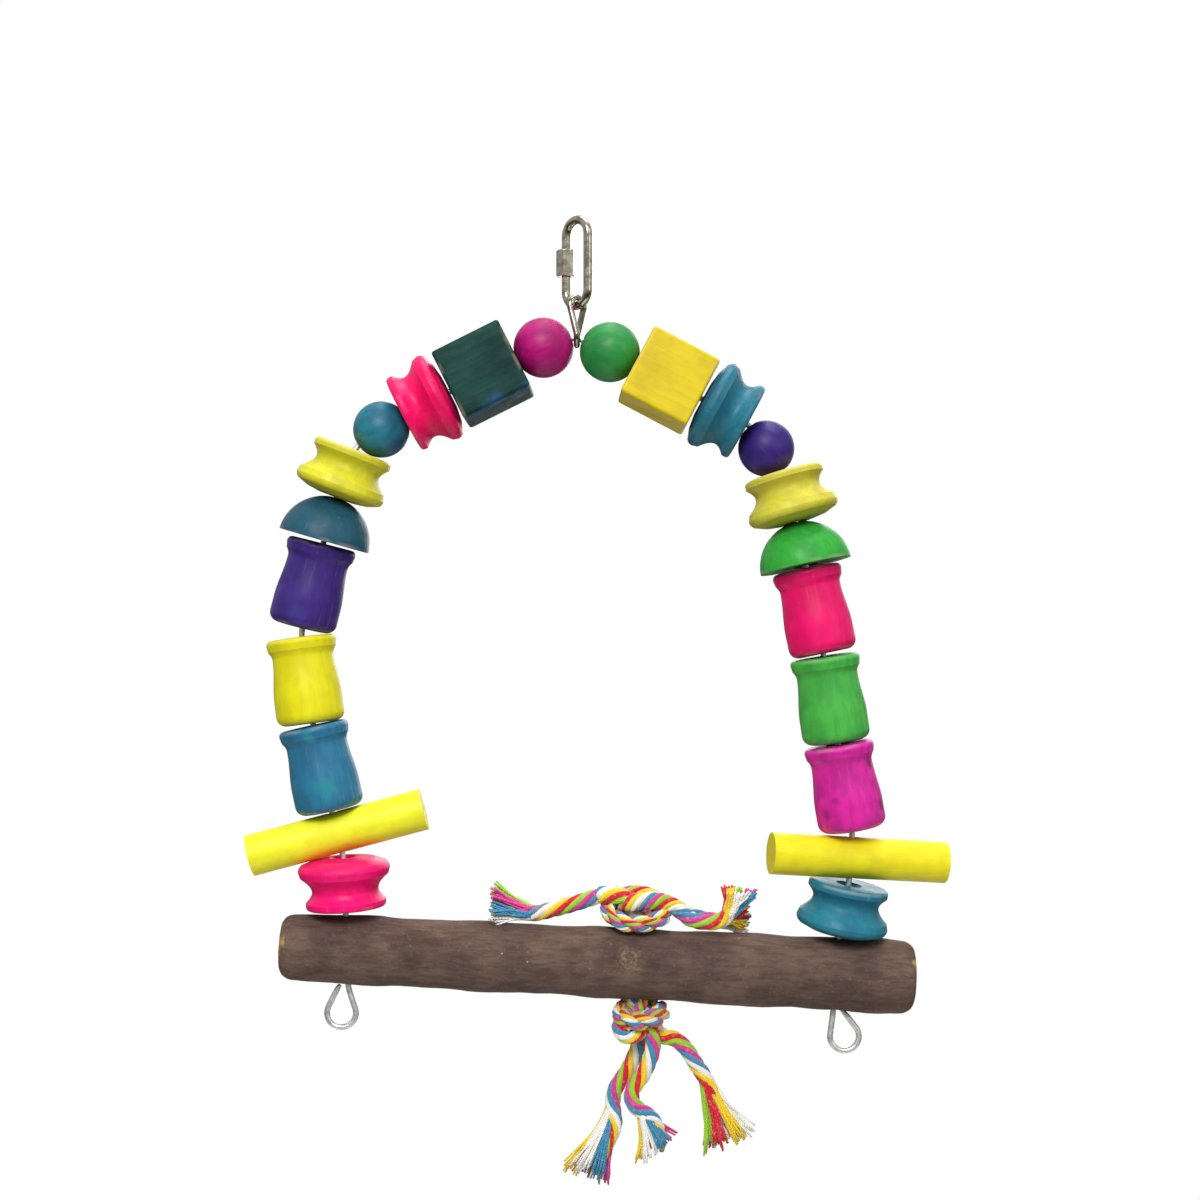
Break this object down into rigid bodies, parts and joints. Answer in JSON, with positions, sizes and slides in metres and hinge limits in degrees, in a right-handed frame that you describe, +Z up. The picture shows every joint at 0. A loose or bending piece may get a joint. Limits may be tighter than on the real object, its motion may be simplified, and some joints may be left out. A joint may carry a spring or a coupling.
{
  "type": "bird swing",
  "caption": "Hanging arch swing for a pet bird: a wire arch strung with turned wooden beads over a bark perch, with a knotted rope and a screw-lock link.",
  "frame": {"origin": "inner crest of the quick link's top bow, where the swing hangs", "axes": "+Z up, +X across the arch towards the side with the green ball, +Y away from the picture's viewer"},
  "size_m": [0.2382, 0.0317, 0.3242],
  "materials": {
    "link_steel": "bright nickel-plated steel",
    "chain_steel": "galvanised steel",
    "wire_steel": "galvanised steel wire",
    "bark": "natural branch with its bark",
    "rope_cotton": "laid cotton rope of several colours",
    "dyed_magenta": "turned wood, water-dyed, unvarnished",
    "dyed_dark_teal": "turned wood, water-dyed, unvarnished",
    "dyed_pink": "turned wood, water-dyed, unvarnished",
    "dyed_blue_green": "turned wood, water-dyed, unvarnished",
    "dyed_yellow": "turned wood, water-dyed, unvarnished",
    "dyed_petrol": "turned wood, water-dyed, unvarnished",
    "dyed_violet": "turned wood, water-dyed, unvarnished",
    "dyed_sea_blue": "turned wood, water-dyed, unvarnished",
    "dyed_green": "turned wood, water-dyed, unvarnished",
    "dyed_light_green": "turned wood, water-dyed, unvarnished"
  },
  "bodies": {
    "quick_link": {"quick_link_body": "link_steel"},
    "sleeve_nut": {"quick_link_nut": "link_steel"},
    "chain": {"chain_link": "chain_steel"},
    "swing_frame": {"arch_wire": "wire_steel", "perch": "bark", "rope_core": "rope_cotton", "upper_knot": "rope_cotton", "lower_knot": "rope_cotton", "top_left_tail": "rope_cotton", "top_right_tail": "rope_cotton", "top_back_tail": "rope_cotton", "bottom_left_tail": "rope_cotton", "bottom_middle_tail": "rope_cotton", "bottom_right_tail": "rope_cotton"},
    "left_ball_bead": {"left_ball": "dyed_magenta"},
    "left_cube_bead": {"left_cube": "dyed_dark_teal"},
    "left_upper_spool_bead": {"left_upper_spool": "dyed_pink"},
    "left_small_ball_bead": {"left_small_ball": "dyed_blue_green"},
    "left_middle_spool_bead": {"left_middle_spool": "dyed_yellow"},
    "left_half_ball_bead": {"left_half_ball": "dyed_petrol"},
    "left_top_cup_bead": {"left_top_cup": "dyed_violet"},
    "left_middle_cup_bead": {"left_middle_cup": "dyed_yellow"},
    "left_bottom_cup_bead": {"left_bottom_cup": "dyed_sea_blue"},
    "left_dowel_bead": {"left_dowel": "dyed_yellow"},
    "left_foot_spool_bead": {"left_foot_spool": "dyed_pink"},
    "right_ball_bead": {"right_ball": "dyed_green"},
    "right_cube_bead": {"right_cube": "dyed_yellow"},
    "right_upper_spool_bead": {"right_upper_spool": "dyed_blue_green"},
    "right_small_ball_bead": {"right_small_ball": "dyed_violet"},
    "right_middle_spool_bead": {"right_middle_spool": "dyed_yellow"},
    "right_half_ball_bead": {"right_half_ball": "dyed_light_green"},
    "right_top_cup_bead": {"right_top_cup": "dyed_pink"},
    "right_middle_cup_bead": {"right_middle_cup": "dyed_light_green"},
    "right_bottom_cup_bead": {"right_bottom_cup": "dyed_magenta"},
    "right_dowel_bead": {"right_dowel": "dyed_yellow"},
    "right_foot_spool_bead": {"right_foot_spool": "dyed_sea_blue"}
  },
  "joints": [
    {"name": "nut_travel", "type": "slide", "parent": "quick_link", "child": "sleeve_nut", "axis": [0, 0, -1], "range_m": [0, 0.0046]},
    {"name": "chain_swing", "type": "hinge", "parent": "quick_link", "child": "chain", "pos_m": [0, 0, -0.0275], "axis": [0.7071, -0.7071, 0], "range_deg": [-25, 25]},
    {"name": "frame_swing", "type": "hinge", "parent": "chain", "child": "swing_frame", "pos_m": [0, 0, -0.03855], "axis": [1, 0, 0], "range_deg": [-60, 60]},
    {"name": "left_ball_spin", "type": "hinge", "parent": "swing_frame", "child": "left_ball_bead", "pos_m": [-0.0113, 0, -0.04175], "axis": [0.9398, 0, 0.3417], "continuous": true},
    {"name": "left_cube_spin", "type": "hinge", "parent": "swing_frame", "child": "left_cube_bead", "pos_m": [-0.03153, 0, -0.05078], "axis": [0.8944, 0, 0.4473], "continuous": true},
    {"name": "left_upper_spool_spin", "type": "hinge", "parent": "swing_frame", "child": "left_upper_spool_bead", "pos_m": [-0.05085, 0, -0.0606], "axis": [0.8893, 0, 0.4573], "continuous": true},
    {"name": "left_small_ball_spin", "type": "hinge", "parent": "swing_frame", "child": "left_small_ball_bead", "pos_m": [-0.06609, 0, -0.06939], "axis": [0.8347, 0, 0.5507], "continuous": true},
    {"name": "left_middle_spool_spin", "type": "hinge", "parent": "swing_frame", "child": "left_middle_spool_bead", "pos_m": [-0.07831, 0, -0.08438], "axis": [0.3573, 0, 0.934], "continuous": true},
    {"name": "left_half_ball_spin", "type": "hinge", "parent": "swing_frame", "child": "left_half_ball_bead", "pos_m": [-0.08337, 0, -0.09965], "axis": [0.2775, 0, 0.9607], "continuous": true},
    {"name": "left_top_cup_spin", "type": "hinge", "parent": "swing_frame", "child": "left_top_cup_bead", "pos_m": [-0.08958, 0, -0.12201], "axis": [0.2482, 0, 0.9687], "continuous": true},
    {"name": "left_middle_cup_spin", "type": "hinge", "parent": "swing_frame", "child": "left_middle_cup_bead", "pos_m": [-0.09152, 0, -0.15421], "axis": [-0.1321, 0.0349, 0.9906], "continuous": true},
    {"name": "left_bottom_cup_spin", "type": "hinge", "parent": "swing_frame", "child": "left_bottom_cup_bead", "pos_m": [-0.08621, 0, -0.18372], "axis": [-0.2104, 0, 0.9776], "continuous": true},
    {"name": "left_dowel_spin", "type": "hinge", "parent": "swing_frame", "child": "left_dowel_bead", "pos_m": [-0.08106, 0, -0.20554], "axis": [-0.2558, 0, 0.9667], "continuous": true},
    {"name": "left_foot_spool_spin", "type": "hinge", "parent": "swing_frame", "child": "left_foot_spool_bead", "pos_m": [-0.07844, 0, -0.22234], "axis": [-0.0594, -0.0175, 0.9981], "continuous": true},
    {"name": "right_ball_spin", "type": "hinge", "parent": "swing_frame", "child": "right_ball_bead", "pos_m": [0.01113, 0, -0.04323], "axis": [-0.9103, 0, 0.414], "continuous": true},
    {"name": "right_cube_spin", "type": "hinge", "parent": "swing_frame", "child": "right_cube_bead", "pos_m": [0.03086, 0, -0.05302], "axis": [-0.8851, 0, 0.4654], "continuous": true},
    {"name": "right_upper_spool_spin", "type": "hinge", "parent": "swing_frame", "child": "right_upper_spool_bead", "pos_m": [0.04997, 0, -0.06322], "axis": [-0.8754, 0, 0.4835], "continuous": true},
    {"name": "right_small_ball_spin", "type": "hinge", "parent": "swing_frame", "child": "right_small_ball_bead", "pos_m": [0.06397, 0, -0.07578], "axis": [-0.5777, 0, 0.8162], "continuous": true},
    {"name": "right_middle_spool_spin", "type": "hinge", "parent": "swing_frame", "child": "right_middle_spool_bead", "pos_m": [0.07191, 0, -0.0925], "axis": [-0.2675, 0.0698, 0.961], "continuous": true},
    {"name": "right_half_ball_spin", "type": "hinge", "parent": "swing_frame", "child": "right_half_ball_bead", "pos_m": [0.07571, 0, -0.10807], "axis": [-0.2089, 0.0698, 0.9755], "continuous": true},
    {"name": "right_top_cup_spin", "type": "hinge", "parent": "swing_frame", "child": "right_top_cup_bead", "pos_m": [0.0805, 0, -0.13078], "axis": [-0.2026, 0.0523, 0.9779], "continuous": true},
    {"name": "right_middle_cup_spin", "type": "hinge", "parent": "swing_frame", "child": "right_middle_cup_bead", "pos_m": [0.08578, 0, -0.16046], "axis": [-0.1494, 0, 0.9888], "continuous": true},
    {"name": "right_bottom_cup_spin", "type": "hinge", "parent": "swing_frame", "child": "right_bottom_cup_bead", "pos_m": [0.09081, 0, -0.19003], "axis": [-0.1734, 0, 0.9848], "continuous": true},
    {"name": "right_dowel_spin", "type": "hinge", "parent": "swing_frame", "child": "right_dowel_bead", "pos_m": [0.09266, 0, -0.21402], "axis": [0.0696, 0, 0.9976], "continuous": true},
    {"name": "right_foot_spool_spin", "type": "hinge", "parent": "swing_frame", "child": "right_foot_spool_bead", "pos_m": [0.09037, 0, -0.2314], "axis": [0.182, -0.0523, 0.9819], "continuous": true}
  ]
}
